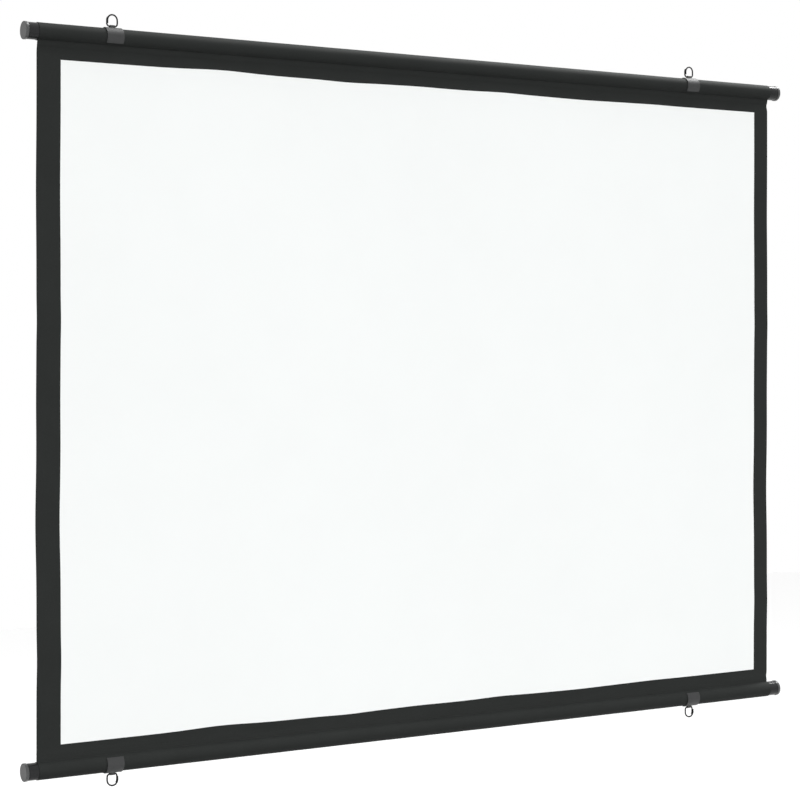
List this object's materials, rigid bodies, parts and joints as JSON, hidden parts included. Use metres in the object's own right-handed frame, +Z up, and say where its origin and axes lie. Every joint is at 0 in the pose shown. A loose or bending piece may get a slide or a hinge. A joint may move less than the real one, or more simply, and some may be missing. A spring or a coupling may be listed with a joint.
{
  "type": "projection screen",
  "caption": "Wall-hung roll-up projection screen: a black-bordered white sheet between two round tubes, with snap clips and wire rings for wall hooks.",
  "frame": {"origin": "midway along the tubes, in the plane of the sheet, at the height where the two top rings bear on their wall hooks", "axes": "+X along the tubes to the viewer's right, +Y from the viewer towards the wall, +Z up"},
  "size_m": [1.3196, 0.0268, 1.0458],
  "materials": {
    "tube": "gloss black lacquer on steel tube",
    "plug": "moulded dark grey, satin",
    "cloth": "black coated cloth, matt",
    "coat": "matt white viewing coat",
    "clip": "moulded dark grey, fine grain",
    "wire": "dark grey coated steel wire"
  },
  "bodies": {
    "top_bar": {"top_tube": "tube", "top_left_plug": "plug", "top_right_plug": "plug", "top_pocket": "cloth", "backing_sheet": "cloth", "viewing_surface": "coat"},
    "bottom_bar": {"bottom_tube": "tube", "bottom_left_plug": "plug", "bottom_right_plug": "plug", "bottom_pocket": "cloth"},
    "top_left_hanger": {"top_left_clip": "clip"},
    "top_right_hanger": {"top_right_clip": "clip"},
    "bottom_left_hanger": {"bottom_left_clip": "clip"},
    "bottom_right_hanger": {"bottom_right_clip": "clip"},
    "top_left_loop": {"top_left_ring": "wire"},
    "top_right_loop": {"top_right_ring": "wire"},
    "bottom_left_loop": {"bottom_left_ring": "wire"},
    "bottom_right_loop": {"bottom_right_ring": "wire"}
  },
  "joints": [
    {"name": "roll_up", "type": "slide", "parent": "top_bar", "child": "bottom_bar", "axis": [0, 0, 1], "range_m": [0, 0.935], "deforming": ["backing_sheet", "viewing_surface"]},
    {"name": "top_left_clip_slide", "type": "slide", "parent": "top_bar", "child": "top_left_hanger", "axis": [1, 0, 0], "range_m": [-0.0965, 0.5165]},
    {"name": "top_right_clip_slide", "type": "slide", "parent": "top_bar", "child": "top_right_hanger", "axis": [1, 0, 0], "range_m": [-0.4615, 0.1535]},
    {"name": "bottom_left_clip_slide", "type": "slide", "parent": "bottom_bar", "child": "bottom_left_hanger", "axis": [1, 0, 0], "range_m": [-0.0965, 0.5165]},
    {"name": "bottom_right_clip_slide", "type": "slide", "parent": "bottom_bar", "child": "bottom_right_hanger", "axis": [1, 0, 0], "range_m": [-0.4615, 0.1535]},
    {"name": "top_left_ring_swing", "type": "hinge", "parent": "top_left_hanger", "child": "top_left_loop", "pos_m": [-0.532, 0, -0.0149], "axis": [1, 0, 0], "range_deg": [-75, 85]},
    {"name": "top_right_ring_swing", "type": "hinge", "parent": "top_right_hanger", "child": "top_right_loop", "pos_m": [0.4751, 0, -0.0149], "axis": [1, 0, 0], "range_deg": [-75, 85]},
    {"name": "bottom_left_ring_swing", "type": "hinge", "parent": "bottom_left_hanger", "child": "bottom_left_loop", "pos_m": [-0.532, 0, -1.02656], "axis": [1, 0, 0], "range_deg": [-85, 75]},
    {"name": "bottom_right_ring_swing", "type": "hinge", "parent": "bottom_right_hanger", "child": "bottom_right_loop", "pos_m": [0.4751, 0, -1.02656], "axis": [1, 0, 0], "range_deg": [-85, 75]}
  ]
}
